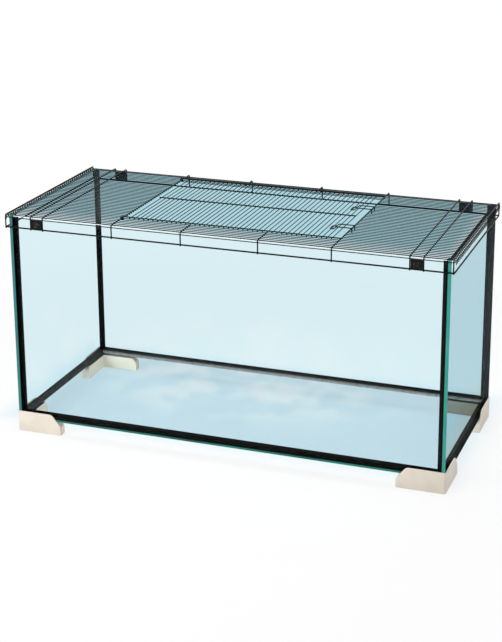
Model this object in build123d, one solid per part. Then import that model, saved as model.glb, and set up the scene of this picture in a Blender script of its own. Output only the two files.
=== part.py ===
from build123d import *
import os
from math import cos, floor, radians, sin

# Rodent cage: a glass tank on four plastic corner feet, with a lift-off wire lid.
# Millimetres. +Z is up, the long side runs along X, and the front faces -Y.
# The origin lies under the middle of the cage, on the surface that it stands on.

# Glass tank
tank_length = 1000.0
tank_depth = 435.0
glass_height = 482.0
wall_glass = 8.0
floor_glass = 6.0
joint_film = 1.0

# Silicone beads inside the tank
corner_bead = 10.5
floor_bead_height = 13.0
floor_bead_width = 11.0
bead_nose = 1.0

# Corner feet
foot_lift = 32.0
foot_lip = 16.0
foot_arm_bottom = 106.0
foot_arm_top = 84.0
foot_toe_height = 20.0
foot_wall = 2.5
foot_gap = 0.3
foot_shelf = 3.0
foot_shelf_width = 18.0
foot_corner_radius = 6.0
foot_shoulder_radius = 14.0
foot_toe_radius = 12.0
foot_base_radius = 1.5
foot_rib = 2.0

# Wire sizes in the lid and door
bar_dia = 2.0
cross_dia = 3.0
rim_dia = 3.5
shoulder_dia = 2.0
rail_dia = 3.0
latch_dia = 2.5

# Lid
seat_gap = 0.2
rim_side_gap = 1.0
rim_end_gap = 4.75
rim_corner_radius = 3.0
rim_drop = 25.5
shoulder_drop = 3.0
leg_tail = 2.0
cross_bend = 4.0
bar_pitch = 11.0
bar_edge = 3.0
bar_bend = 3.0
bar_tail = 10.0
bar_under_wire = 1.5
front_strip_bars = 6
back_strip_bars = 5
short_wire_x = 87.5
short_wire_tail = 2.0

# Clips that hold the lid on the glass
clip_from_end = 70.5
clip_wire_spacing = 29.0
clip_side_gap = 0.2
clip_top_drop = 2.6
clip_face = 7.3
clip_groove_gap = 0.1
clip_edge_radius = 1.2
pocket_width = 17.0
pocket_top = 7.6
pocket_bottom = 22.4
pocket_depth = 3.0
tab_gap = 0.4
tab_thickness = 2.0
tab_barrel = 1.3
tab_pin = 0.8
tab_pin_gap = 0.1
tab_pin_length = 1.6
tab_ridge_radius = 6.0
tab_ridge_width = 1.6
tab_ridge_height = 1.2

# Door
door_half_width = 249.0
door_bar_pitch = 11.0
door_bar_dia = 2.0
door_bar_margin = 13.0
door_bar_tail = 2.0
hinge_gap = 0.3
rail_overhang = 5.5

# Wire latches on the door
latch_offset = 77.0
latch_outer_bars = 2
latch_gap = 0.3
latch_hook_gap = 0.5
latch_hook_drop = 4.5
latch_tail = 5.5
latch_dip = 2.0
latch_bend = 2.5

# Levels and places worked out from the sizes above
half_length = tank_length / 2
half_depth = tank_depth / 2
glass_top = foot_lift + glass_height
floor_top = foot_lift + floor_glass
lid_base = glass_top + seat_gap
bar_z = lid_base + bar_dia / 2
cross_z = lid_base + bar_dia + cross_dia / 2
rim_z = lid_base - rim_drop
shoulder_z = lid_base - shoulder_drop
rim_y = half_depth + rim_side_gap + rim_dia / 2
leg_y = half_depth + rim_side_gap + rim_dia + cross_dia / 2
shoulder_y = leg_y - cross_dia / 2 - shoulder_dia / 2
rim_x = half_length + rim_end_gap + rim_dia / 2
shoulder_x = rim_x
bar_end_x = shoulder_x + shoulder_dia / 2 + bar_dia / 2
end_wire_x = bar_end_x - bar_bend
leg_bottom = rim_z - leg_tail
clip_x = half_length - clip_from_end
rail_z = cross_z + cross_dia / 2 + hinge_gap + rail_dia / 2
door_bar_z = rail_z - rail_dia / 2 - door_bar_dia / 2


def bar_rows():
    """Y of every long bar of the lid, front to back."""
    gaps = floor((tank_depth - 2 * bar_edge) / bar_pitch)
    first = -gaps * bar_pitch / 2
    return [first + i * bar_pitch for i in range(gaps + 1)]


def door_bar_columns():
    """X of every bar of the door, left to right."""
    side = floor((door_half_width - door_bar_margin) / door_bar_pitch)
    return [i * door_bar_pitch for i in range(-side, side + 1)]


rows = bar_rows()
columns = door_bar_columns()
front_strip_edge = rows[front_strip_bars - 2]
back_strip_edge = rows[1 - back_strip_bars]
front_rail_y = front_strip_edge + bar_pitch / 2
back_rail_y = back_strip_edge - bar_pitch / 2
middle_rail_y = (front_rail_y + back_rail_y) / 2


def nearest_gap(y):
    """Middle of the gap between two long bars that lies nearest to y."""
    return min((row + bar_pitch / 2 for row in rows[:-1]), key=lambda gap: abs(gap - y))


def block(x0, x1, y0, y1, z0, z1):
    """Box between two corners."""
    middle = Pos((x0 + x1) / 2, (y0 + y1) / 2, (z0 + z1) / 2)
    return middle * Box(x1 - x0, y1 - y0, z1 - z0)


def wire_along(path, diameter):
    """Round wire swept along a path."""
    start = Plane(origin=path @ 0, z_dir=path % 0)
    return sweep(start * Circle(diameter / 2), path=path)


def bent_wire(points, bend, diameter):
    """Round wire through the points, with every corner bent to one radius."""
    return wire_along(FilletPolyline(*points, radius=bend), diameter)


def straight_wire(start, end, diameter):
    """Round wire from start to end."""
    return wire_along(Line(start, end), diameter)


def wire_ring(half_x, half_y, z, diameter):
    """Closed rectangle of round wire with bent corners."""
    outline = Pos(0, 0, z) * RectangleRounded(2 * half_x, 2 * half_y, rim_corner_radius)
    return wire_along(outline.wire(), diameter)


def save(name, solids):
    """Write one node from one solid or from a group of separate ones."""
    group = solids if isinstance(solids, list) else [solids]
    shape = group[0] if len(group) == 1 else Compound(children=group)
    export_step(shape, f"parts/{name}.step")


# Tank
def glass_panes():
    """Five panes: the side panes cover the ends of the other three."""
    inner_x = half_length - wall_glass
    pane_x = inner_x - joint_film
    inner_y = half_depth - wall_glass
    pane_base = floor_top + joint_film
    return {
        "bottom_pane": block(-pane_x, pane_x, -half_depth, half_depth, foot_lift, floor_top),
        "front_pane": block(-pane_x, pane_x, -half_depth, -inner_y, pane_base, glass_top),
        "back_pane": block(-pane_x, pane_x, inner_y, half_depth, pane_base, glass_top),
        "left_pane": block(-half_length, -inner_x, -half_depth, half_depth, foot_lift, glass_top),
        "right_pane": block(inner_x, half_length, -half_depth, half_depth, foot_lift, glass_top),
    }


def bead(width, height, length):
    """Hollow-faced silicone bead in the corner of the first quadrant, drawn along +Z."""
    reach_x = width - bead_nose
    reach_y = height - bead_nose
    waist = 1 - cos(radians(45))
    edges = [
        Line((0, 0), (width, 0)),
        Line((width, 0), (width, bead_nose / 2)),
        ThreePointArc(
            (width, bead_nose / 2),
            (bead_nose / 2 + reach_x * waist, bead_nose / 2 + reach_y * waist),
            (bead_nose / 2, height),
        ),
        Line((bead_nose / 2, height), (0, height)),
        Line((0, height), (0, 0)),
    ]
    return extrude(make_face(edges), amount=length)


def corner_seals():
    """Vertical beads, each with its film between a wall's end and a side pane."""
    pane_x = half_length - wall_glass - joint_film
    inner_y = half_depth - wall_glass
    base = floor_top + joint_film
    height = glass_top - base
    upright = bead(corner_bead, corner_bead, height)
    film = block(0, joint_film, -wall_glass, 0, 0, height)
    front_left = Pos(-pane_x - joint_film, -inner_y, base) * (upright + film)
    for along_floor in ("floor_seal_front", "floor_seal_left"):
        front_left -= floor_seals()[along_floor]
    front_right = mirror(front_left, about=Plane.YZ)
    return {
        "corner_seal_front_left": front_left,
        "corner_seal_front_right": front_right,
        "corner_seal_back_left": mirror(front_left, about=Plane.XZ),
        "corner_seal_back_right": mirror(front_right, about=Plane.XZ),
    }


def floor_seals():
    """Beads round the floor, each with its film under or beside a pane."""
    inner_x = half_length - wall_glass
    pane_x = inner_x - joint_film
    inner_y = half_depth - wall_glass
    base = floor_top
    along_x = Rot(0, 0, 90) * Rot(90, 0, 0) * bead(floor_bead_width, floor_bead_height, 2 * inner_x)
    front = Pos(-inner_x, -inner_y, base) * along_x
    front = front + block(-inner_x, inner_x, -half_depth, -inner_y, base, base + joint_film)
    back = mirror(front, about=Plane.XZ)
    along_y = Rot(90, 0, 0) * bead(floor_bead_width, floor_bead_height, 2 * inner_y)
    left = Pos(-inner_x, inner_y, base) * along_y
    left = left + block(-inner_x, -pane_x, -half_depth, half_depth, foot_lift, base)
    left = left - front - back
    return {
        "floor_seal_front": front,
        "floor_seal_back": back,
        "floor_seal_left": left,
        "floor_seal_right": mirror(left, about=Plane.YZ),
    }


def foot_outline():
    """Side outline of one arm of a foot, from the outer corner of the foot along +X."""
    outer = foot_gap + foot_wall
    height = foot_lift + foot_lip
    toe = FilletPolyline(
        (foot_arm_bottom / 2, 0),
        (foot_arm_bottom, 0),
        (foot_arm_bottom, foot_toe_height),
        (foot_arm_top, height),
        (foot_arm_bottom / 2, height),
        radius=[foot_base_radius, foot_toe_radius, foot_shoulder_radius],
    )
    edges = [
        *toe.edges(),
        Line((foot_arm_bottom / 2, height), (-outer, height)),
        Line((-outer, height), (-outer, 0)),
        Line((-outer, 0), (foot_arm_bottom / 2, 0)),
    ]
    return make_face(edges)


def foot_slab(front, back, trim, height):
    """Slab of the foot's outline between two depths, drawn in at its toe and cut off level."""
    slab = extrude(foot_outline(), amount=back - front)
    slab = Pos(-trim, back, 0) * Rot(90, 0, 0) * slab
    return slab & block(-foot_arm_bottom, foot_arm_bottom, front, back, 0, height)


def foot_arm():
    """One arm of a foot along +X: outer lip, shelf under the glass, inner flange and toe wall."""
    outer = foot_gap + foot_wall
    flange = foot_shelf_width - foot_wall
    arm = foot_slab(-outer, -foot_gap, 0, foot_lift + foot_lip)
    arm = arm + foot_slab(-outer, foot_shelf_width, 0, foot_lift)
    hollow = foot_slab(-foot_gap, flange, foot_wall, foot_lift - foot_shelf)
    hollow = hollow & block(-foot_gap, foot_arm_bottom, -foot_gap, flange, 0, foot_lift)
    rib = block(foot_arm_bottom / 2, foot_arm_bottom / 2 + foot_rib, -foot_gap, flange, 0, foot_lift)
    return arm, hollow - rib


def foot():
    """One corner foot: two arms at right angles, hollow from below."""
    across = Plane(origin=(0, 0, 0), z_dir=(1, -1, 0))
    arm, hollow = foot_arm()
    shell = arm + mirror(arm, about=across)
    corner = shell.edges().filter_by(Axis.Z).sort_by(lambda edge: edge.center().X + edge.center().Y)[0]
    return fillet(corner, foot_corner_radius) - hollow - mirror(hollow, about=across)


def feet():
    """Four feet, one at each corner of the glass."""
    front_left = Pos(-half_length, -half_depth, 0) * foot()
    front_right = mirror(front_left, about=Plane.YZ)
    return {
        "foot_front_left": front_left,
        "foot_front_right": front_right,
        "foot_back_left": mirror(front_left, about=Plane.XZ),
        "foot_back_right": mirror(front_right, about=Plane.XZ),
    }


# Lid
def cross_wire(x):
    """Wire from front to back over the lid, bent down to the rim at both ends."""
    points = [
        (x, -leg_y, leg_bottom),
        (x, -leg_y, cross_z),
        (x, leg_y, cross_z),
        (x, leg_y, leg_bottom),
    ]
    return bent_wire(points, cross_bend, cross_dia)


def short_cross_wire(x, side, strip_edge):
    """Wire over the strip beside the door, bent down to the rim; side is -1 in front."""
    points = [
        (x, side * leg_y, leg_bottom),
        (x, side * leg_y, cross_z),
        (x, strip_edge - side * short_wire_tail, cross_z),
    ]
    return bent_wire(points, cross_bend, cross_dia)


def end_to_end_bar(y):
    """Bar over the whole length, bent down over both ends."""
    points = [
        (-bar_end_x, y, bar_z - bar_tail),
        (-bar_end_x, y, bar_z),
        (bar_end_x, y, bar_z),
        (bar_end_x, y, bar_z - bar_tail),
    ]
    return bent_wire(points, bar_bend, bar_dia)


def side_bar(y, side):
    """Bar from one end of the lid to the wire beside the door; side is -1 on the left."""
    points = [
        (side * bar_end_x, y, bar_z - bar_tail),
        (side * bar_end_x, y, bar_z),
        (side * (door_half_width - bar_under_wire), y, bar_z),
    ]
    return bent_wire(points, bar_bend, bar_dia)


def lid_frame():
    """Rim, shoulder wire and every cross wire."""
    clip_wires = [cross_wire(side * (clip_x + half * clip_wire_spacing / 2))
                  for side in (-1, 1) for half in (-1, 1)]
    short_wires = [short_cross_wire(x, side, edge)
                   for x in (-short_wire_x, short_wire_x)
                   for side, edge in ((-1, front_strip_edge), (1, back_strip_edge))]
    return {
        "rim_wire": wire_ring(rim_x, rim_y, rim_z, rim_dia),
        "shoulder_wire": wire_ring(shoulder_x, shoulder_y, shoulder_z, shoulder_dia),
        "end_wires": [cross_wire(-end_wire_x), cross_wire(end_wire_x)],
        "clip_wires": clip_wires,
        "hinge_wire": cross_wire(-door_half_width),
        "catch_wire": cross_wire(door_half_width),
        "short_cross_wires": short_wires,
    }


def lid_bars():
    """Long bars: whole ones in the strips, whose last bar lies under the door, split ones beside it."""
    front = rows[:front_strip_bars]
    back = rows[-back_strip_bars:]
    beside = rows[front_strip_bars:-back_strip_bars]
    return {
        "bars_front": [end_to_end_bar(y) for y in front],
        "bars_back": [end_to_end_bar(y) for y in back],
        "bars_left": [side_bar(y, -1) for y in beside],
        "bars_right": [side_bar(y, 1) for y in beside],
    }


# Clips, drawn with the glass face at y = 0, outwards along -Y, and the lid's base at z = 0
clip_half = clip_wire_spacing / 2 - cross_dia / 2 - clip_side_gap
clip_inner = rim_side_gap + rim_dia / 2
pivot_out = clip_face - pocket_depth + tab_gap + tab_barrel
pivot_drop = pocket_top + tab_gap + tab_barrel


def rod_along_x(length, radius, out, drop):
    """Rod or bore along X, centred on x = 0."""
    return Pos(0, -out, -drop) * Rot(0, 90, 0) * Cylinder(radius, length)


def clip_plate():
    """Plastic plate held between the rim and shoulder wires, with a pocket for its tab."""
    plate = block(-clip_half, clip_half, -clip_face, -clip_inner, -rim_drop, -clip_top_drop)
    plate = fillet(plate.faces().sort_by(Axis.Y)[0].edges(), clip_edge_radius)
    width = 2 * clip_half + clip_edge_radius
    plate -= rod_along_x(width, rim_dia / 2 + clip_groove_gap, clip_inner, rim_drop)
    shoulder_out = shoulder_y - half_depth
    plate -= rod_along_x(width, shoulder_dia / 2 + clip_groove_gap, shoulder_out, shoulder_drop)
    half_pocket = pocket_width / 2
    floor_out = clip_face - pocket_depth
    plate -= block(-half_pocket, half_pocket, -clip_face - tab_thickness, -floor_out,
                   -pocket_bottom, -pocket_top)
    plate -= rod_along_x(pocket_width + 2 * (tab_pin_length + tab_gap), tab_pin + tab_pin_gap,
                         pivot_out, pivot_drop)
    return plate


def clip_tab():
    """Thumb tab that hangs in the clip's pocket on two short pins."""
    half_tab = pocket_width / 2 - tab_gap
    foot_drop = pocket_bottom - 2 * tab_gap
    front_out = pivot_out + tab_barrel
    tab = block(-half_tab, half_tab, -front_out, -front_out + tab_thickness, -foot_drop, -pivot_drop)
    tab += rod_along_x(2 * half_tab, tab_barrel, pivot_out, pivot_drop)
    tab += rod_along_x(pocket_width + 2 * tab_pin_length, tab_pin, pivot_out, pivot_drop)
    inner = tab_ridge_radius - tab_ridge_width
    ring = Circle(tab_ridge_radius) - Circle(inner)
    smile = ring & Pos(0, -tab_ridge_radius) * Rectangle(2 * tab_ridge_radius, 2 * tab_ridge_radius)
    ridge = extrude(smile, amount=tab_ridge_height + tab_thickness / 2)
    centre_drop = foot_drop - tab_ridge_radius - tab_gap
    ridge = Pos(0, -front_out + tab_thickness / 2, -centre_drop) * Rot(90, 0, 0) * ridge
    return tab + ridge


def clips():
    """Four clips, two along the front and two along the back."""
    nodes = {}
    for name, solid in (("clip_plate", clip_plate()), ("clip_tab", clip_tab())):
        for end, side in (("left", -1), ("right", 1)):
            front = Pos(side * clip_x, -half_depth, lid_base) * solid
            nodes[f"{name}_front_{end}"] = front
            nodes[f"{name}_back_{end}"] = mirror(front, about=Plane.XZ)
    return nodes


# Door
def hinged_rail(y):
    """Rail of the door, curled into an eye round the hinge wire."""
    eye = rail_z - cross_z
    centre_x = -door_half_width
    half_way = radians(225)
    run = Line((door_half_width + rail_overhang, y, rail_z), (centre_x, y, rail_z))
    curl = ThreePointArc(
        (centre_x, y, rail_z),
        (centre_x + eye * cos(half_way), y, cross_z + eye * sin(half_way)),
        (centre_x + eye, y, cross_z),
    )
    return wire_along(Wire([run, curl]), rail_dia)


def door():
    """Door of close bars under three rails."""
    bars = [straight_wire((x, front_rail_y - door_bar_tail, door_bar_z),
                          (x, back_rail_y + door_bar_tail, door_bar_z), door_bar_dia)
            for x in columns]
    middle = straight_wire((columns[0] - door_bar_tail, middle_rail_y, rail_z),
                           (columns[-1] + door_bar_tail, middle_rail_y, rail_z), rail_dia)
    return {
        "door_bars": bars,
        "door_front_rail": hinged_rail(front_rail_y),
        "door_middle_rail": middle,
        "door_back_rail": hinged_rail(back_rail_y),
    }


def latch(y):
    """Wire latch: closed end under a door bar, two legs that hook over the catch wire."""
    pivot_x = columns[-1 - latch_outer_bars]
    reach = door_bar_dia / 2 + latch_gap + latch_dia / 2
    over = door_bar_z + reach
    under = door_bar_z - reach
    hook_x = door_half_width + cross_dia / 2 + latch_hook_gap + latch_dia / 2
    rise = pivot_x + door_bar_pitch - latch_dip
    near = y - bar_pitch
    far = y + bar_pitch
    leg = [
        (hook_x, lid_base - latch_hook_drop),
        (hook_x, over),
        (rise, over),
        (pivot_x + latch_dip, under),
        (pivot_x - latch_tail, under),
    ]
    points = [(x, near, z) for x, z in leg] + [(x, far, z) for x, z in reversed(leg)]
    return bent_wire(points, latch_bend, latch_dia)


def latches():
    """Two latches, each with its legs in gaps between the lid's long bars."""
    return {
        "latch_front": latch(nearest_gap(-latch_offset)),
        "latch_back": latch(nearest_gap(latch_offset)),
    }


os.makedirs("parts", exist_ok=True)
for nodes in (glass_panes(), corner_seals(), floor_seals(), feet(), lid_frame(), lid_bars(),
              clips(), door(), latches()):
    for node, solids in nodes.items():
        save(node, solids)
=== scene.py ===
"""Looks of a glass rodent cage: tank, seals, feet, wire lid, clips, door and latches.

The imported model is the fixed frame. Each class below holds the sizes of one sub-assembly, builds
its meshes in the frame's place and dresses them. Lengths are in metres unless a name says not.
"""

import logging
import math
from dataclasses import dataclass, field, replace
from enum import IntEnum, StrEnum

import bmesh
import bpy
from bpy.types import Material, Mesh, Node, NodeSocket, NodeTree, Object
from mathutils import Matrix, Vector


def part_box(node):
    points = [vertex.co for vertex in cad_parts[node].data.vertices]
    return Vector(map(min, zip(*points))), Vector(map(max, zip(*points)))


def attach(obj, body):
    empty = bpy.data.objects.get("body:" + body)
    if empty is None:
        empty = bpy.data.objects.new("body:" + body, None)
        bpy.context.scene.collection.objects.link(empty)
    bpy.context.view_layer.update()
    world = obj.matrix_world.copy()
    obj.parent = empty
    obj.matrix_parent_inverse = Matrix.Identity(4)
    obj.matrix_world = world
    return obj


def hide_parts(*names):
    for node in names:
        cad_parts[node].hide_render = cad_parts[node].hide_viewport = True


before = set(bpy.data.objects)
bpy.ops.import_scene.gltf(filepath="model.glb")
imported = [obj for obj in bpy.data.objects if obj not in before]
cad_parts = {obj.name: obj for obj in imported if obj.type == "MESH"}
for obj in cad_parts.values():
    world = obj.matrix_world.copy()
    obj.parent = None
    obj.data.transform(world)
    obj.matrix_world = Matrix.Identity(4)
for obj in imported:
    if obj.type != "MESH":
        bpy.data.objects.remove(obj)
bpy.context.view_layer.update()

log = logging.getLogger("rodent_cage")
Point = tuple[float, float, float]
Colour = tuple[float, float, float, float]

MM = 0.001
BAR_WIRE = 2.0 * MM
CROSS_WIRE = 3.0 * MM
BAR_PITCH = 11.0 * MM
HINGE_GAP = 0.3 * MM
X, Y, Z = range(3)
WHITE: Colour = (1.0, 1.0, 1.0, 1.0)
# Sockets of the Mix node for colours, by number because several share a name.
SHARE, FIRST, SECOND, MIXED = 0, 6, 7, 2


class Corner(StrEnum):
    """Corner of the cage, by the ending of its node names."""

    FRONT_LEFT = "front_left"
    FRONT_RIGHT = "front_right"
    BACK_LEFT = "back_left"
    BACK_RIGHT = "back_right"


class Body(StrEnum):
    """Rigid bodies of the frame that carry pieces, apart from the clips' tabs."""

    TANK = "tank"
    LID = "lid"
    DOOR = "door"
    LATCH_FRONT = "latch_front"
    LATCH_BACK = "latch_back"


class Slot(StrEnum):
    """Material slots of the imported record."""

    GLASS = "glass"
    FOOT = "foot_plastic"
    CLIP = "clip_plastic"
    LID_WIRE = "lid_wire"
    DOOR_WIRE = "door_wire"
    LATCH_WIRE = "latch_wire"


class PaneFace(IntEnum):
    """Faces of a pane by the finish that they take, in the order of the pane's materials."""

    POLISHED = 0
    TOP = 1
    BOTTOM = 2
    ENDS = 3
    ARRIS = 4
    BACK = 5
    BONDED = 6


def linear(hex_colour: str) -> Colour:
    """Turn an sRGB hex colour into linear RGBA, with the sRGB standard's own numbers.

    Args:
        hex_colour: Six hex digits with a leading hash.

    Returns:
        Linear red, green, blue and an alpha of one.
    """
    parts = [int(hex_colour[i : i + 2], 16) / 255 for i in (1, 3, 5)]
    values = [c / 12.92 if c <= 0.04045 else ((c + 0.055) / 1.055) ** 2.4 for c in parts]
    return (*values, 1.0)


def add_node(tree: NodeTree, kind: str, feeds: dict[str | int, object] | None = None,
             **settings: object) -> Node:
    """Add one node with its settings, its input values and its links.

    Args:
        tree: Tree that gets the node.
        kind: Blender's type name of the node.
        feeds: What goes into each input, by its name or number: a value, or a socket to link.
        settings: Attributes of the node.

    Returns:
        The new node.
    """
    made = tree.nodes.new(kind)
    for name, value in settings.items():
        setattr(made, name, value)
    for place, feed in (feeds or {}).items():
        if isinstance(feed, NodeSocket):
            tree.links.new(feed, made.inputs[place])
        else:
            made.inputs[place].default_value = feed
    return made


def new_material(name: str) -> tuple[Material, NodeTree, NodeSocket]:
    """Start an empty node material.

    Args:
        name: Name of the material.

    Returns:
        The material, its tree, and the place of a point in the frame. Object coordinates give
        that place, because every piece sits at the origin.
    """
    material = bpy.data.materials.new(name)
    material.use_nodes = True
    tree = material.node_tree
    tree.nodes.clear()
    return material, tree, add_node(tree, "ShaderNodeTexCoord").outputs["Object"]


def depth_inside(tree: NodeTree, place: NodeSocket, half: Point) -> NodeSocket:
    """Measure how deep a point lies inside an upright box round the origin.

    Args:
        tree: Tree that gets the nodes.
        place: Place of the point.
        half: Half the box's size; only its X and Y are read.

    Returns:
        The distance to the nearest side, which is negative outside the box.
    """
    past = add_node(tree, "ShaderNodeVectorMath", {0: place}, operation="ABSOLUTE")
    inner = add_node(tree, "ShaderNodeVectorMath", {0: half, 1: past.outputs[0]},
                     operation="SUBTRACT")
    parts = add_node(tree, "ShaderNodeSeparateXYZ", {"Vector": inner.outputs[0]})
    least = add_node(tree, "ShaderNodeMath", {0: parts.outputs["X"], 1: parts.outputs["Y"]},
                     operation="MINIMUM")
    return least.outputs[0]


@dataclass(frozen=True)
class Finish:
    """What every finish shares: two colours of one material, and how far apart they drift."""

    name: str
    dark: str
    pale: str
    drift_mm: float = 40.0
    drift_low: float = 0.3
    drift_high: float = 0.7
    drift_detail: float = 3.0

    def body_colour(self, tree: NodeTree, place: NodeSocket) -> NodeSocket:
        """Let the two colours drift into each other.

        Args:
            tree: Tree of the material.
            place: Place of a point in the frame.

        Returns:
            The colour.
        """
        cloud = add_node(tree, "ShaderNodeTexNoise", {
            "Vector": place, "Scale": 1 / (self.drift_mm * MM), "Detail": self.drift_detail})
        share = add_node(tree, "ShaderNodeMapRange", {
            "Value": cloud.outputs["Fac"], "From Min": self.drift_low, "From Max": self.drift_high})
        mixed = add_node(tree, "ShaderNodeMix", {
            SHARE: share.outputs["Result"], FIRST: linear(self.dark), SECOND: linear(self.pale)},
            data_type="RGBA")
        return mixed.outputs[MIXED]


@dataclass(frozen=True)
class FloatGlass(Finish):
    """Soda-lime float glass, fire-polished on both faces.

    Each light and shade plane is a direction and the two distances along it between which the tint
    turns from the pale colour to the dark one. This paints light and shade: by default the tint is
    painted deeper behind the lid, as the lid's shade. The film lies within its reach of its centre.
    """

    # To the eye: flat and clear, with a blue-green tint and pale clouds where a cloth's film dried.
    # Behind the lid the tint is painted deeper, as the lid's shade, and a slanting plane bounds
    # that painted shade as well. Such glass has an IOR of 1.52. The photographed panes lay no white
    # veil over the black seals behind them, so the IOR is matched down until it is gone.
    drift_mm: float = 95.0
    drift_low: float = 0.36
    drift_high: float = 0.64
    drift_detail: float = 2.0
    light_and_shade_planes: tuple[tuple[Point, float, float], ...] = (
        ((0.0, 0.33, 1.0), 0.442, 0.475), ((-1.467, 0.0, 1.0), -0.22, -0.16))
    film: str = "#E4F1F4"
    film_share: float = 0.0
    film_centre: Point = (0.0, 0.0, 0.0)
    film_reach: Point = (1.0, 1.0, 1.0)
    film_core: float = 0.4
    smear_mm: float = 60.0
    smear_detail: float = 4.0
    smear_rough: float = 0.03
    shade: str = "#F2F9FA"
    ior: float = 1.02

    def body_colour(self, tree: NodeTree, place: NodeSocket) -> NodeSocket:
        """Paint the tint's light and shade past its light and shade planes and lay the dried film
        over it.

        Args:
            tree: Tree of the material.
            place: Place of a point in the frame.

        Returns:
            The colour.
        """
        deep: NodeSocket | float = 1.0
        for way, low, high in self.light_and_shade_planes:
            along = add_node(tree, "ShaderNodeVectorMath", {0: place, 1: way},
                             operation="DOT_PRODUCT")
            past = add_node(tree, "ShaderNodeMapRange", {
                "Value": along.outputs["Value"], "From Min": low, "From Max": high},
                interpolation_type="SMOOTHSTEP")
            deep = add_node(tree, "ShaderNodeMath", {0: deep, 1: past.outputs["Result"]},
                            operation="MULTIPLY").outputs[0]
        tint = add_node(tree, "ShaderNodeMix", {
            SHARE: deep, FIRST: linear(self.pale), SECOND: linear(self.dark)}, data_type="RGBA")
        cloud = add_node(tree, "ShaderNodeTexNoise", {
            "Vector": place, "Scale": 1 / (self.drift_mm * MM), "Detail": self.drift_detail})
        wisps = add_node(tree, "ShaderNodeMapRange", {
            "Value": cloud.outputs["Fac"], "From Min": self.drift_low, "From Max": self.drift_high},
            interpolation_type="SMOOTHSTEP")
        patch = add_node(tree, "ShaderNodeMapping", {
            "Vector": place, "Location": self.film_centre, "Scale": self.film_reach},
            vector_type="TEXTURE")
        away = add_node(tree, "ShaderNodeVectorMath", {0: patch.outputs[0]}, operation="LENGTH")
        fade = add_node(tree, "ShaderNodeMapRange", {
            "Value": away.outputs["Value"], "From Min": self.film_core, "From Max": 1.0,
            "To Min": self.film_share, "To Max": 0.0}, interpolation_type="SMOOTHSTEP")
        dried = add_node(tree, "ShaderNodeMath", {
            0: wisps.outputs["Result"], 1: fade.outputs["Result"]}, operation="MULTIPLY")
        mixed = add_node(tree, "ShaderNodeMix", {
            SHARE: dried.outputs[0], FIRST: tint.outputs[MIXED], SECOND: linear(self.film)},
            data_type="RGBA")
        return mixed.outputs[MIXED]

    def build(self) -> Material:
        """Make glass that lets the lamps through, so that what it holds is lit.

        Returns:
            The material.
        """
        material, tree, place = new_material(self.name)
        hand = add_node(tree, "ShaderNodeTexNoise", {
            "Vector": place, "Scale": 1 / (self.smear_mm * MM), "Detail": self.smear_detail})
        smear = add_node(tree, "ShaderNodeMapRange", {
            "Value": hand.outputs["Fac"], "To Max": self.smear_rough})
        glass = add_node(tree, "ShaderNodeBsdfPrincipled", {
            "Base Color": self.body_colour(tree, place), "Roughness": smear.outputs["Result"],
            "IOR": self.ior, "Transmission Weight": 1.0})
        clear = add_node(tree, "ShaderNodeBsdfTransparent", {"Color": linear(self.shade)})
        path = add_node(tree, "ShaderNodeLightPath")
        both = add_node(tree, "ShaderNodeMixShader", {
            "Fac": path.outputs["Is Shadow Ray"], 1: glass.outputs[0], 2: clear.outputs[0]})
        add_node(tree, "ShaderNodeOutputMaterial", {"Surface": both.outputs[0]})
        return material


@dataclass(frozen=True)
class OpaqueFinish(Finish):
    """What the finishes that stop light share: a grain that sets the roughness and the relief."""

    grain_mm: float = 1.0
    grain_detail: float = 2.0
    grain_depth_mm: float = 0.0
    rough_low: float = 0.3
    rough_high: float = 0.5
    ior: float = 1.5
    gloss: float = 0.1
    glow: float = 0.0
    glow_reach: Point = (2.0 * MM, 1.4 * MM, 1.0 * MM)

    def build(self) -> Material:
        """Make the material.

        Returns:
            The material.
        """
        material, tree, place = new_material(self.name)
        grain = add_node(tree, "ShaderNodeTexNoise", {
            "Vector": place, "Scale": 1 / (self.grain_mm * MM), "Detail": self.grain_detail})
        rough = add_node(tree, "ShaderNodeMapRange", {
            "Value": grain.outputs["Fac"], "To Min": self.rough_low, "To Max": self.rough_high})
        skin = add_node(tree, "ShaderNodeBsdfPrincipled", {
            "Base Color": self.body_colour(tree, place), "Roughness": rough.outputs["Result"],
            "IOR": self.ior, "Specular IOR Level": self.gloss, "Subsurface Weight": self.glow,
            "Subsurface Radius": self.glow_reach})
        if self.grain_depth_mm:
            relief = add_node(tree, "ShaderNodeBump", {
                "Height": grain.outputs["Fac"], "Distance": self.grain_depth_mm * MM})
            tree.links.new(relief.outputs["Normal"], skin.inputs["Normal"])
        add_node(tree, "ShaderNodeOutputMaterial", {"Surface": skin.outputs[0]})
        return material


@dataclass(frozen=True)
class CutGlassEdge(OpaqueFinish):
    """Float glass edge, cut and ground on a wet belt."""

    # To the eye: a satin line. Sight runs the length of the pane there, so the iron in the glass
    # gathers to a deep sea green. Each edge's colours paint in the light and shade that lie behind
    # it:
    # paler as painted light, nearly black as painted shade.
    # Belt marks are some 0.2 mm wide; they are drawn at 6 mm along the edge so that they show.
    drift_mm: float = 70.0
    grain_mm: float = 6.0
    rough_low: float = 0.28
    rough_high: float = 0.48
    ior: float = 1.52
    gloss: float = 0.25


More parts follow.
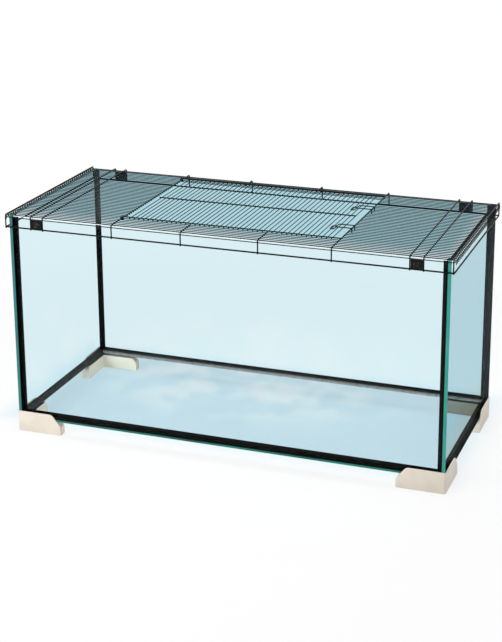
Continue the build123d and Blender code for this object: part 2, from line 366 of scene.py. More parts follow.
@dataclass(frozen=True)
class Silicone(OpaqueFinish):
    """Black neutral-cure silicone, gunned in and tooled with a finger.

    The pale specks, dust and painted glints, have their full share at one height and are gone at
    the other, above or below it.
    """

    # To the eye: soft black rubber with slow ripples along the bead. Its skin has caught pale dust
    # where bedding lies against it, and grease near the top, where hands reach in. The pale specks
    # are also painted glints of light along the bead.
    drift_mm: float = 9.0
    grain_mm: float = 9.0
    grain_detail: float = 3.0
    grain_depth_mm: float = 0.3
    rough_low: float = 0.35
    rough_high: float = 0.5
    ior: float = 1.41
    gloss: float = 0.12
    dust_and_glint: str = "#888C8C"
    dust_and_glint_share: float = 0.0
    dust_and_glint_full_z: float = 0.0395
    dust_and_glint_gone_z: float = 0.0435
    speck_mm: float = 5.0
    speck_detail: float = 5.0
    speck_rough: float = 0.6
    speck_low: float = 0.25
    speck_high: float = 0.52

    def body_colour(self, tree: NodeTree, place: NodeSocket) -> NodeSocket:
        """Lay pale specks over the rubber's colour: dust, and painted glints of light.

        Args:
            tree: Tree of the material.
            place: Place of a point in the frame.

        Returns:
            The colour.
        """
        grit = add_node(tree, "ShaderNodeTexNoise", {
            "Vector": place, "Scale": 1 / (self.speck_mm * MM), "Detail": self.speck_detail,
            "Roughness": self.speck_rough})
        specks = add_node(tree, "ShaderNodeMapRange", {
            "Value": grit.outputs["Fac"], "From Min": self.speck_low, "From Max": self.speck_high})
        parts = add_node(tree, "ShaderNodeSeparateXYZ", {"Vector": place})
        level = add_node(tree, "ShaderNodeMapRange", {
            "Value": parts.outputs["Z"], "From Min": self.dust_and_glint_full_z, "From Max": self.dust_and_glint_gone_z,
            "To Min": self.dust_and_glint_share, "To Max": 0.0})
        speckled = add_node(tree, "ShaderNodeMath", {
            0: specks.outputs["Result"], 1: level.outputs["Result"]}, operation="MULTIPLY")
        mixed = add_node(tree, "ShaderNodeMix", {
            SHARE: speckled.outputs[0], FIRST: super().body_colour(tree, place),
            SECOND: linear(self.dust_and_glint)}, data_type="RGBA")
        return mixed.outputs[MIXED]


@dataclass(frozen=True)
class MouldedPlastic(OpaqueFinish):
    """Polypropylene, injection-moulded in a spark-eroded tool."""

    # To the eye: waxy and matt, with slow flow marks. Where the glass covers it, a finish may paint
    # another tone, which stands in for the light and shade under the glass.
    # The tool's grain is about 0.2 mm; it is drawn at 0.9 mm so that it can show.
    grain_mm: float = 0.9
    grain_depth_mm: float = 0.02
    rough_low: float = 0.42
    rough_high: float = 0.55
    ior: float = 1.49
    gloss: float = 0.3
    painted_light_and_shade: str | None = None
    painted_light_and_shade_half: Point = (0.488, 0.214, 1.0)
    painted_light_and_shade_edge: float = 2.0 * MM

    def body_colour(self, tree: NodeTree, place: NodeSocket) -> NodeSocket:
        """Paint the light and shade under the glass within its outline, where the finish has a
        colour for that.

        Args:
            tree: Tree of the material.
            place: Place of a point in the frame.

        Returns:
            The colour.
        """
        colour = super().body_colour(tree, place)
        if self.painted_light_and_shade is None:
            return colour
        under = add_node(tree, "ShaderNodeMapRange", {
            "Value": depth_inside(tree, place, self.painted_light_and_shade_half), "From Min": 0.0,
            "From Max": self.painted_light_and_shade_edge})
        mixed = add_node(tree, "ShaderNodeMix", {
            SHARE: under.outputs["Result"], FIRST: colour, SECOND: linear(self.painted_light_and_shade)},
            data_type="RGBA")
        return mixed.outputs[MIXED]


@dataclass(frozen=True)
class PowderCoat(OpaqueFinish):
    """Steel wire under a dark epoxy powder coat, stoved."""

    # To the eye: satin near-black, a little paler where the coat lies thicker. Its orange peel is
    # about 0.5 mm; it is drawn at 1.2 mm so that it can show.
    drift_mm: float = 25.0
    grain_mm: float = 1.2
    grain_depth_mm: float = 0.03
    rough_low: float = 0.32


def settle(piece: Object, body: str, slot: Slot, *nodes: str) -> None:
    """Tie a finished piece to its body and nodes, and log it.

    Args:
        piece: Finished mesh, sitting at the origin.
        body: Body that carries it.
        slot: Not used.
        nodes: CAD nodes that it stands for.
    """
    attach(piece, body)
    if nodes:
        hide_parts(*nodes)
    log.info("%s: %d faces on %s", piece.name, len(piece.data.polygons), body)


def link_mesh(mesh: Mesh) -> Object:
    """Put a mesh into the scene as an object at the origin.

    Args:
        mesh: The mesh, whose name the object takes.

    Returns:
        The object.
    """
    made = bpy.data.objects.new(mesh.name, mesh)
    bpy.context.scene.collection.objects.link(made)
    return made


def baked(made: Object) -> Object:
    """Turn an object's live modifiers into a plain mesh.

    Args:
        made: Object with modifiers.

    Returns:
        The same object, with the result as its mesh and no modifier left.
    """
    graph = bpy.context.evaluated_depsgraph_get()
    result = bpy.data.meshes.new_from_object(made.evaluated_get(graph))
    made.modifiers.clear()
    made.data = result
    return made


def bar_places(node: str, axis: int) -> list[float]:
    """Find the middles of a node's bars, which stand a pitch apart.

    Args:
        node: CAD node of the bars.
        axis: Axis that they are spaced along.

    Returns:
        The place of each bar along the axis.
    """
    low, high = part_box(node)
    count = round((high[axis] - low[axis] - BAR_WIRE) / BAR_PITCH) + 1
    return [low[axis] + BAR_WIRE / 2 + i * BAR_PITCH for i in range(count)]


@dataclass(frozen=True)
class MouldedEdge:
    """Small radii that a mould leaves on a part's edges."""

    width: float
    segments: int = 2
    least_turn: float = 35.0
    flat_turn: float = 1.0
    smooth_turn: float = 30.0
    same_point: float = 0.001 * MM
    same_edge: float = 0.005 * MM

    def soften(self, node: str, material: Material) -> Object:
        """Copy a CAD node's shape with these radii on its edges.

        Args:
            node: CAD node to copy.
            material: Finish of the piece.

        Returns:
            The softened piece at the origin.
        """
        mesh = bmesh.new()
        mesh.from_mesh(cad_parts[node].data)
        bmesh.ops.remove_doubles(mesh, verts=mesh.verts, dist=self.same_point)
        bmesh.ops.dissolve_limit(mesh, angle_limit=math.radians(self.flat_turn), verts=mesh.verts,
                                 edges=mesh.edges)
        data = bpy.data.meshes.new(f"{node}_moulded")
        mesh.to_mesh(data)
        mesh.free()
        data.materials.append(material)
        made = link_mesh(data)
        bevel = made.modifiers.new("MouldedEdge", "BEVEL")
        bevel.width, bevel.segments = self.width, self.segments
        bevel.limit_method, bevel.angle_limit = "ANGLE", math.radians(self.least_turn)
        # Where two edges' bevels meet, they leave faces of no width, which this merges.
        made.modifiers.new("MergedEdge", "WELD").merge_threshold = self.same_edge
        baked(made)
        made.data.shade_smooth()
        made.data.set_sharp_from_angle(angle=math.radians(self.smooth_turn))
        return made


def new_tree(name: str, inputs: dict[str, str]) -> tuple[NodeTree, Node, Node]:
    """Start a Geometry Nodes tree with named inputs.

    Args:
        name: Name of the tree.
        inputs: Input name to socket type, after the geometry.

    Returns:
        The tree, its input node and its output node.
    """
    tree = bpy.data.node_groups.new(name, "GeometryNodeTree")
    tree.interface.new_socket("Geometry", in_out="INPUT", socket_type="NodeSocketGeometry")
    for label, kind in inputs.items():
        tree.interface.new_socket(label, in_out="INPUT", socket_type=f"NodeSocket{kind}")
    tree.interface.new_socket("Geometry", in_out="OUTPUT", socket_type="NodeSocketGeometry")
    return tree, add_node(tree, "NodeGroupInput"), add_node(tree, "NodeGroupOutput")


def repeat(tree: NodeTree, shape: Node, spots: NodeSocket,
           finish: NodeSocket, result: Node) -> None:
    """End a tree: put a smoothed shape on every spot, make the copies real, set their finish.

    Args:
        tree: The tree.
        shape: Node whose first output is the shape.
        spots: Points that each get a copy.
        finish: Material of the copies.
        result: Output node of the tree.
    """
    smooth = add_node(tree, "GeometryNodeSetShadeSmooth", {"Geometry": shape.outputs[0]})
    copies = add_node(tree, "GeometryNodeInstanceOnPoints", {
        "Points": spots, "Instance": smooth.outputs[0]})
    real = add_node(tree, "GeometryNodeRealizeInstances", {"Geometry": copies.outputs[0]})
    coated = add_node(tree, "GeometryNodeSetMaterial", {
        "Geometry": real.outputs[0], "Material": finish})
    tree.links.new(coated.outputs[0], result.inputs[0])


def bent_wire_tree() -> NodeTree:
    """Build the tree that turns lines into round bent wire and repeats it at a step.

    Returns:
        The tree, with inputs for diameter, bend, sides, copies, step and finish.
    """
    tree, given, result = new_tree("BentWire", {
        "Diameter": "Float", "Bend radius": "Float", "Bend steps": "Int", "Sides": "Int",
        "Copies": "Int", "Step": "Vector", "Finish": "Material"})
    line = add_node(tree, "GeometryNodeMeshToCurve", {"Mesh": given.outputs["Geometry"]})
    bent = add_node(tree, "GeometryNodeFilletCurve", {
        "Curve": line.outputs[0], "Count": given.outputs["Bend steps"],
        "Radius": given.outputs["Bend radius"]}, mode="POLY")
    radius = add_node(tree, "ShaderNodeMath", {0: given.outputs["Diameter"], 1: 0.5},
                      operation="MULTIPLY")
    circle = add_node(tree, "GeometryNodeCurvePrimitiveCircle", {
        "Resolution": given.outputs["Sides"], "Radius": radius.outputs[0]})
    wire = add_node(tree, "GeometryNodeCurveToMesh", {
        "Curve": bent.outputs[0], "Profile Curve": circle.outputs[0], "Fill Caps": True})
    places = add_node(tree, "GeometryNodeMeshLine", {
        "Count": given.outputs["Copies"], "Offset": given.outputs["Step"]})
    repeat(tree, wire, places.outputs[0], given.outputs["Finish"], result)
    return tree


def weld_tree() -> NodeTree:
    """Build the tree that puts a flattened weld nugget on every vertex.

    Returns:
        The tree, with inputs for the nugget's width, height and finish.
    """
    tree, given, result = new_tree("WeldNuggets", {
        "Width": "Float", "Height": "Float", "Finish": "Material"})
    # The ball is one metre wide, so that its scale is its size, and has few faces, because there
    # are hundreds of nuggets.
    ball = add_node(tree, "GeometryNodeMeshUVSphere", {"Segments": 8, "Rings": 5, "Radius": 0.5})
    size = add_node(tree, "ShaderNodeCombineXYZ", {
        "X": given.outputs["Width"], "Y": given.outputs["Width"], "Z": given.outputs["Height"]})
    flat = add_node(tree, "GeometryNodeTransform", {
        "Geometry": ball.outputs[0], "Scale": size.outputs[0]})
    repeat(tree, flat, given.outputs["Geometry"], given.outputs["Finish"], result)
    return tree


def grow(mesh: Mesh, tree: NodeTree, values: dict[str, object]) -> Object:
    """Run a Geometry Nodes tree on a mesh and keep the result as a plain mesh.

    Args:
        mesh: Mesh that the tree reads.
        tree: The tree.
        values: Its input values by name.

    Returns:
        An object at the origin that holds the result.
    """
    made = link_mesh(mesh)
    modifier = made.modifiers.new(tree.name, "NODES")
    modifier.node_group = tree
    sockets = {item.name: item.identifier for item in tree.interface.items_tree
               if item.in_out == "INPUT"}
    for name, value in values.items():
        modifier[sockets[name]] = value
    return baked(made)


@dataclass
class WireShop:
    """Makes bent wires and weld nuggets through the two shared trees."""

    sides: int = 12
    bend_steps: int = 6
    weld_width: float = 2.6 * MM
    weld_height: float = 1.3 * MM
    wire: NodeTree = field(default_factory=bent_wire_tree)
    weld: NodeTree = field(default_factory=weld_tree)

    def bend(self, name: str, lines: list[list[Point]], diameter: float, radius: float,
             finish: Material, copies: int = 1, step: Point = (0, 0, 0),
             closed: bool = False) -> Object:
        """Bend round wire along lines.

        Args:
            name: Name of the piece.
            lines: Corner points of each wire.
            diameter: Wire diameter.
            radius: Bend radius at the wire's centre, or 0 to keep the corners.
            finish: Material of the wire.
            copies: How often the set repeats.
            step: Offset from one copy to the next.
            closed: Whether each wire is a closed ring.

        Returns:
            The wires as one mesh piece.
        """
        points: list[Point] = []
        edges: list[tuple[int, int]] = []
        for line in lines:
            first = len(points)
            points += line
            edges += [(i, i + 1) for i in range(first, len(points) - 1)]
            if closed:
                edges.append((len(points) - 1, first))
        mesh = bpy.data.meshes.new(name)
        mesh.from_pydata(points, edges, [])
        return grow(mesh, self.wire, {
            "Diameter": diameter, "Bend radius": radius, "Sides": self.sides, "Copies": copies,
            "Bend steps": self.bend_steps if radius else 1, "Step": step, "Finish": finish})

    def nuggets(self, name: str, spots: list[Point], finish: Material) -> Object:
        """Put weld nuggets where wires cross.

        Args:
            name: Name of the piece.
            spots: Where two wires touch.
            finish: Material of the nuggets.

        Returns:
            The nuggets as one mesh piece.
        """
        mesh = bpy.data.meshes.new(name)
        mesh.from_pydata(spots, [], [])
        return grow(mesh, self.weld, {
            "Width": self.weld_width, "Height": self.weld_height, "Finish": finish})


@dataclass(frozen=True)
class Pane:
    """Finishes of one pane; an edge without a finish of its own is bonded in black silicone.

    The field `ends` is for the ends that face the front, and `back` for those of a side pane that
    face the back.
    """

    node: str
    glass: FloatGlass
    top: CutGlassEdge | None = None
    bottom: CutGlassEdge | None = None
    ends: CutGlassEdge | None = None
    arris: CutGlassEdge | None = None
    back: CutGlassEdge | None = None


@dataclass
class GlassTank:
    """Five glass panes with ground arrises, bonded in black silicone where they meet."""

    rubber: Material
    arris: float = 0.8 * MM
    # The edges' colours are painted light and shade one by one: pale where light comes through,
    # dark to nearly black where shade lies, as on the side panes' lower edges.
    panes: tuple[Pane, ...] = (
        Pane("front_pane", FloatGlass("front_float_glass", "#FDFFFF", "#FDFFFF"),
             top=CutGlassEdge("front_ground_edge", "#EAF5F6", "#FAFFFF")),
        Pane("back_pane",
             FloatGlass("back_float_glass", "#AFD8E2", "#DCF0F5", drift_mm=120.0, film="#E6F3F6",
                        film_share=0.6, film_centre=(-0.05, 0.21, 0.06),
                        film_reach=(0.5, 0.3, 0.17)),
             top=CutGlassEdge("back_ground_edge", "#56676A", "#77888A")),
        Pane("left_pane",
             FloatGlass("left_float_glass", "#A9CFD8", "#DCF0F5", drift_mm=120.0, film="#E6F3F6",
                        film_share=0.5, film_centre=(-0.5, 0.0, 0.1),
                        film_reach=(0.2, 0.25, 0.2)),
             top=CutGlassEdge("left_ground_edge", "#4A8F92", "#6FB0B5"),
             bottom=CutGlassEdge("left_shaded_lower_edge", "#0E2826", "#163833"),
             ends=CutGlassEdge("left_cut_edge", "#256F6E", "#317B7A"),
             arris=CutGlassEdge("left_arris", "#318581", "#46A09B"),
             back=CutGlassEdge("left_back_edge", "#0E2826", "#163833")),
        Pane("right_pane",
             # A band at the top of this pane is painted paler, as light.
             FloatGlass("right_float_glass", "#FFFFFF", "#D3E2E7", drift_mm=90.0, drift_low=0.1,
                        drift_high=0.35, film="#D7DCD6", film_share=1.0,
                        film_centre=(0.5, 0.0, 0.03), film_reach=(0.1, 0.45, 0.12), ior=1.005,
                        light_and_shade_planes=(((0.0, 0.0, 1.0), 0.478, 0.488),)),
             top=CutGlassEdge("right_ground_edge", "#142325", "#233437"),
             bottom=CutGlassEdge("right_shaded_lower_edge", "#060D0C", "#0D1817"),
             ends=CutGlassEdge("right_cut_edge", "#2C978A", "#3CA395"),
             arris=CutGlassEdge("right_arris", "#39A699", "#56B8AB"),
             back=CutGlassEdge("right_back_edge", "#3A3D41", "#4E5156")),
        Pane("bottom_pane",
             FloatGlass("floor_float_glass", "#DBE5E9", "#DBE5E9", drift_mm=100.0, drift_low=0.42,
                        film="#EEEEED", film_share=1.0, film_centre=(-0.08, 0.14, 0.035),
                        film_reach=(0.52, 0.3, 0.2)),
             ends=CutGlassEdge("floor_cut_edge", "#1B5049", "#188374", drift_mm=110.0),
             arris=CutGlassEdge("floor_arris", "#25A08E", "#45BBA9", drift_mm=110.0)),
    )
    # Least part of a normal along an axis, for a face square to it, and for one that leans to it.
    square: float = 0.99
    leaning: float = 0.1

    def face_of(self, normal: Vector, thin: int, inward: float, free: set[PaneFace]) -> PaneFace:
        """Tell the faces of a pane apart.

        Args:
            normal: Normal of the face.
            thin: Axis through the pane's thickness.
            inward: Sign of the way into the tank along that axis.
            free: Which of the top, the bottom and the ends are free of silicone.

        Returns:
            The kind of face. What is bonded takes in the inner arris of an end.
        """
        if abs(normal[thin]) > self.square:
            return PaneFace.POLISHED
        across = max((axis for axis in (X, Y, Z) if axis != thin),
                     key=lambda axis: abs(normal[axis]))
        side = PaneFace.ENDS
        if across == Z:
            side = PaneFace.TOP if normal.z > 0 else PaneFace.BOTTOM
        if side not in free or (thin == Z and across == X):
            return PaneFace.BONDED
        if thin == X and across == Y and normal.y > 0:
            return PaneFace.BACK
        if side != PaneFace.ENDS or abs(normal[across]) > self.square:
            return side
        return PaneFace.BONDED if normal[thin] * inward > self.leaning else PaneFace.ARRIS

    def build_pane(self, pane: Pane) -> None:
        """Make one pane in its node's place, with bevelled arrises.

        Args:
            pane: The pane's node and finishes.
        """
        low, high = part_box(pane.node)
        size = high - low
        thin = min((X, Y, Z), key=lambda axis: size[axis])
        inward = 1.0 if thin == Z else math.copysign(1.0, -low[thin])
        edges = {PaneFace.TOP: pane.top, PaneFace.BOTTOM: pane.bottom, PaneFace.ENDS: pane.ends,
                 PaneFace.ARRIS: pane.arris, PaneFace.BACK: pane.back, PaneFace.BONDED: None}
        free = {face for face, edge in edges.items() if edge}
        mesh = bmesh.new()
        bmesh.ops.create_cube(mesh, size=1.0)
        bmesh.ops.scale(mesh, vec=size, verts=mesh.verts)
        bmesh.ops.translate(mesh, vec=(low + high) / 2, verts=mesh.verts)
        bmesh.ops.bevel(mesh, geom=mesh.edges, offset=self.arris, segments=1, affect="EDGES")
        mesh.normal_update()
        for face in mesh.faces:
            face.material_index = self.face_of(face.normal, thin, inward, free)
        data = bpy.data.meshes.new(f"{pane.node}_glass")
        mesh.to_mesh(data)
        mesh.free()
        data.materials.append(pane.glass.build())
        for edge in edges.values():
            data.materials.append(edge.build() if edge else self.rubber)
        settle(link_mesh(data), Body.TANK, Slot.GLASS, pane.node)

    def build(self) -> None:
        """Make all five panes."""
        for pane in self.panes:
            self.build_pane(pane)


@dataclass
class Seals:
    """Silicone beads in the tank's corners and round its floor, whose CAD shape is right."""

    rubber: Material
    black_nodes: tuple[str, ...] = ("corner_seal_front_left", "corner_seal_front_right",
                                    "floor_seal_front", "floor_seal_right")
    others: tuple[tuple[Silicone, tuple[str, ...]], ...] = (
        # Pale specks low on this bead are dust and a painted glint along its lower edge.
        (Silicone("dusty_glinting_black_silicone", "#040605", "#141817", dust_and_glint_share=1.0),
         ("floor_seal_back",)),
        # Pale specks near the top of this bead are grease and painted glints.
        (Silicone("greasy_glinting_black_silicone", "#040605", "#0D100F", dust_and_glint="#606465", dust_and_glint_share=1.0,
                  dust_and_glint_full_z=0.4, dust_and_glint_gone_z=0.36), ("corner_seal_back_left",)),
        # A paler copy of the black silicone, for the left floor bead and the back right corner
        # bead.
        (Silicone("paler_black_silicone", "#292929", "#3C3C3D"),
         ("floor_seal_left", "corner_seal_back_right")),
    )

    def build(self) -> None:
        """Give every bead its rubber."""
        finishes = [(self.rubber, self.black_nodes)]
        finishes += [(look.build(), nodes) for look, nodes in self.others]
        for rubber, nodes in finishes:
            for node in nodes:
                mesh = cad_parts[node].data
                mesh.materials.clear()
                mesh.materials.append(rubber)
                log.info("%s keeps its CAD mesh", node)


@dataclass
class Feet:
    """Four plastic corner feet; the inside of one is painted darker as shade, as in the photograph.
    """

    edge: MouldedEdge = MouldedEdge(0.5 * MM)
    # Under the glass the feet are painted paler and warmer, as the light that falls there.
    plastic: MouldedPlastic = MouldedPlastic("beige_polypropylene", "#E0D6C8", "#E9DFD2", glow=0.1,
                                             painted_light_and_shade="#FFEBD8")
    # This copy is painted darker under the glass, as shade.
    shaded_inside: MouldedPlastic = replace(plastic, name="shaded_beige_polypropylene", painted_light_and_shade="#AC9B8A")
    shaded_corner: Corner = Corner.BACK_RIGHT

    def build(self) -> None:
        """Make the feet from their CAD shape with softened edges."""
        beige, shaded_inside = self.plastic.build(), self.shaded_inside.build()
        for corner in Corner:
            node = f"foot_{corner}"
            finish = shaded_inside if corner is self.shaded_corner else beige
            settle(self.edge.soften(node, finish), Body.TANK, Slot.FOOT, node)


@dataclass
class WireLid:
    """Lift-off lid: rim, shoulder wire, cross wires and long bars."""

    shop: WireShop
    cross: float = CROSS_WIRE
    rim: float = 3.5 * MM
    shoulder: float = 2.0 * MM
    bar_bend: float = 3.0 * MM
    cross_bend: float = 4.0 * MM
    ring_bend: float = 3.0 * MM
    clip_spacing: float = 29.0 * MM
    short_tail: float = 2.0 * MM
    coat: PowderCoat = PowderCoat("lid_powder_coat", "#040607", "#0C1213")

    def ring(self, node: str, diameter: float, finish: Material) -> None:
        """Make a closed wire ring in its node's place.

        Args:
            node: CAD node of the ring.
            diameter: Wire diameter.
            finish: Material of the wire.
        """
        low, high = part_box(node)
        x, y, z = high.x - diameter / 2, high.y - diameter / 2, (low.z + high.z) / 2
        line = [(-x, -y, z), (x, -y, z), (x, y, z), (-x, y, z)]
        piece = self.shop.bend(f"{node}_coated", [line], diameter, self.ring_bend, finish,
                               closed=True)
        settle(piece, Body.LID, Slot.LID_WIRE, node)

    def hoop(self, x: float) -> list[Point]:
        """Lay out a cross wire with a leg at each end.

        Args:
            x: Place of the wire along the cage.

        Returns:
            Its corner points.
        """
        low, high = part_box("catch_wire")
        reach, top = high.y - self.cross / 2, high.z - self.cross / 2
        return [(x, -reach, low.z), (x, -reach, top), (x, reach, top), (x, reach, low.z)]

    def cross_places(self) -> dict[str, list[float]]:
        """Find every full cross wire.

        Returns:
            X of the wires, by node.
        """
        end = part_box("end_wires")[1].x - self.cross / 2
        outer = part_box("clip_wires")[1].x - self.cross / 2
        inner = outer - self.clip_spacing
        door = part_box("catch_wire")[1].x - self.cross / 2
        return {"end_wires": [-end, end], "clip_wires": [-outer, -inner, inner, outer],
                "hinge_wire": [-door], "catch_wire": [door]}

    def short_wires(self) -> list[list[Point]]:
        """Lay out the short cross wires over the strips beside the door.

        Returns:
            The corner points of each.
        """
        low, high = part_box("short_cross_wires")
        reach, top = high.y - self.cross / 2, high.z - self.cross / 2
        side = high.x - self.cross / 2
        front = bar_places("bars_front", Y)[-2] + self.short_tail
        back = bar_places("bars_back", Y)[1] - self.short_tail
        return [[(x, y, low.z), (x, y, top), (x, end, top)]
                for x in (-side, side) for y, end in ((-reach, front), (reach, back))]

    def bars(self, node: str, finish: Material) -> None:
        """Make one group of long bars in its node's place.

        Args:
            node: CAD node of the bars.
            finish: Material of the bars.
        """
        low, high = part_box(node)
        rows = bar_places(node, Y)
        radius = BAR_WIRE / 2
        level = high.z - radius
        line = [(low.x, rows[0], level), (high.x, rows[0], level)]
        # A bar that reaches an end of the lid bends down there.
        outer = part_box("bars_front")[1].x
        if abs(low.x + outer) < MM:
            line[:1] = [(low.x + radius, rows[0], low.z), (low.x + radius, rows[0], level)]
        if abs(high.x - outer) < MM:
            line[-1:] = [(high.x - radius, rows[0], level), (high.x - radius, rows[0], low.z)]
        piece = self.shop.bend(f"{node}_coated", [line], BAR_WIRE, self.bar_bend, finish,
                               copies=len(rows), step=(0, BAR_PITCH, 0))
        settle(piece, Body.LID, Slot.LID_WIRE, node)

    def welds(self, finish: Material) -> None:
        """Put a nugget where each bar crosses a wire above it.

        Args:
            finish: Material of the nuggets.
        """
        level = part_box("bars_front")[1].z
        front, back = bar_places("bars_front", Y), bar_places("bars_back", Y)
        spots = [(x, y, level) for places in self.cross_places().values() for x in places
                 for y in front + bar_places("bars_left", Y) + back]
        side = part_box("short_cross_wires")[1].x - self.cross / 2
        spots += [(x, y, level) for x in (-side, side) for y in front[:-1] + back[1:]]
        settle(self.shop.nuggets("lid_welds", spots, finish), Body.LID, Slot.LID_WIRE)

    def build(self) -> None:
        """Make every wire of the lid."""
        finish = self.coat.build()
        self.ring("rim_wire", self.rim, finish)
        self.ring("shoulder_wire", self.shoulder, finish)
        layout = {node: [self.hoop(x) for x in places]
                  for node, places in self.cross_places().items()}
        layout["short_cross_wires"] = self.short_wires()
        for node, lines in layout.items():
            piece = self.shop.bend(f"{node}_coated", lines, self.cross, self.cross_bend, finish)
            settle(piece, Body.LID, Slot.LID_WIRE, node)
        for node in ("bars_front", "bars_back", "bars_left", "bars_right"):
            self.bars(node, finish)
        self.welds(finish)


@dataclass
class SideClips:
    """Four plastic clips in the lid's skirt, each with a thumb tab."""

    plate_edge: MouldedEdge = MouldedEdge(0.25 * MM)
    tab_edge: MouldedEdge = MouldedEdge(0.2 * MM)
    plastic: MouldedPlastic = MouldedPlastic("black_polypropylene", "#030404", "#080A09",
                                             rough_low=0.28, rough_high=0.4, gloss=0.15)
    # A copy of the black plastic painted paler, as light, for the back clips.
    painted_pale: MouldedPlastic = replace(plastic, name="painted_pale_black_polypropylene", dark="#3E4040",
                                    pale="#4E5050")
    # Pale patches painted as the tab's highlight, and wear.
    sheen_and_wear: MouldedPlastic = MouldedPlastic("sheen_and_wear_black_polypropylene", "#050605", "#4A4B46",
                                          drift_mm=5.0, drift_low=0.52, drift_high=0.7,
                                          rough_low=0.25, rough_high=0.36, gloss=0.2)
    painted_pale_corners: tuple[Corner, ...] = (Corner.BACK_LEFT, Corner.BACK_RIGHT)

    def build(self) -> None:
        """Make the plates and tabs from their CAD shapes with softened edges."""
        black, sheen_and_wear, painted_pale = self.plastic.build(), self.sheen_and_wear.build(), self.painted_pale.build()
        for corner in Corner:
            plate, tab = f"clip_plate_{corner}", f"clip_tab_{corner}"
            finish = painted_pale if corner in self.painted_pale_corners else black
            settle(self.plate_edge.soften(plate, finish), Body.LID, Slot.CLIP, plate)
            settle(self.tab_edge.soften(tab, sheen_and_wear), f"tab_{corner}", Slot.CLIP, tab)


@dataclass
class WireDoor:
    """Door in the lid: close bars under three rails, two of them hinged."""

    shop: WireShop
    rail: float = CROSS_WIRE
    hinge_wire: float = CROSS_WIRE
    hinge_gap: float = HINGE_GAP
    eye_steps: int = 18
    eye_turn: float = 270.0
    coat: PowderCoat = PowderCoat("door_powder_coat", "#040607", "#0C1213")

    def rail_line(self, node: str) -> list[Point]:
        """Lay out a rail: the run, then on a hinged one the eye round the hinge wire.

        Args:
            node: CAD node of the rail.

        Returns:
            Points along the rail.
        """
        low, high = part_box(node)
        y = (low.y + high.y) / 2
        top = high.z - self.rail / 2
        if node == "door_middle_rail":
            return [(low.x, y, top), (high.x, y, top)]
        eye = self.hinge_wire / 2 + self.hinge_gap + self.rail / 2
        centre_x, centre_z = low.x + self.rail / 2 + eye, top - eye
        line = [(high.x, y, top)]
        for i in range(self.eye_steps + 1):
            angle = math.radians(90 + self.eye_turn * i / self.eye_steps)
            line.append((centre_x + eye * math.cos(angle), y, centre_z + eye * math.sin(angle)))
        return line

    def build(self) -> None:
        """Make the bars, the rails and their welds."""
        finish = self.coat.build()
        low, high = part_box("door_bars")
        columns = bar_places("door_bars", X)
        level = (low.z + high.z) / 2
        line = [(columns[0], low.y, level), (columns[0], high.y, level)]
        piece = self.shop.bend("door_bars_coated", [line], BAR_WIRE, 0, finish,
                               copies=len(columns), step=(BAR_PITCH, 0, 0))
        settle(piece, Body.DOOR, Slot.DOOR_WIRE, "door_bars")
        spots = []
        for node in ("door_front_rail", "door_middle_rail", "door_back_rail"):
            line = self.rail_line(node)
            piece = self.shop.bend(f"{node}_coated", [line], self.rail, 0, finish)
            settle(piece, Body.DOOR, Slot.DOOR_WIRE, node)
            spots += [(x, line[0][1], high.z) for x in columns]
        settle(self.shop.nuggets("door_welds", spots, finish), Body.DOOR, Slot.DOOR_WIRE)


@dataclass
class WireLatches:
    """Two bent wire latches threaded under a door bar."""

    shop: WireShop
    wire: float = 2.5 * MM
    bend: float = 2.5 * MM
    gap: float = HINGE_GAP
    tail: float = 5.5 * MM
    dip: float = 2.0 * MM
    coat: PowderCoat = PowderCoat("latch_powder_coat", "#030404", "#080B0C")

    def line(self, node: str) -> list[Point]:
        """Lay out one latch.

        Args:
            node: CAD node of the latch.

        Returns:
            Corner points from one hook's tip to the other's.
        """
        low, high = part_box(node)
        radius = self.wire / 2
        over = high.z - radius
        under = over - 2 * (BAR_WIRE / 2 + self.gap + radius)
        tail_x = low.x + radius
        pivot_x = tail_x + self.tail
        leg = [(high.x - radius, low.z), (high.x - radius, over),
               (pivot_x + BAR_PITCH - self.dip, over), (pivot_x + self.dip, under),
               (tail_x, under)]
        near, far = low.y + radius, high.y - radius
        return [(x, near, z) for x, z in leg] + [(x, far, z) for x, z in reversed(leg)]

    def build(self) -> None:
        """Bend both latches."""
        finish = self.coat.build()
        for body in (Body.LATCH_FRONT, Body.LATCH_BACK):
            piece = self.shop.bend(f"{body}_coated", [self.line(body)], self.wire, self.bend,
                                   finish)
            settle(piece, body, Slot.LATCH_WIRE, body)


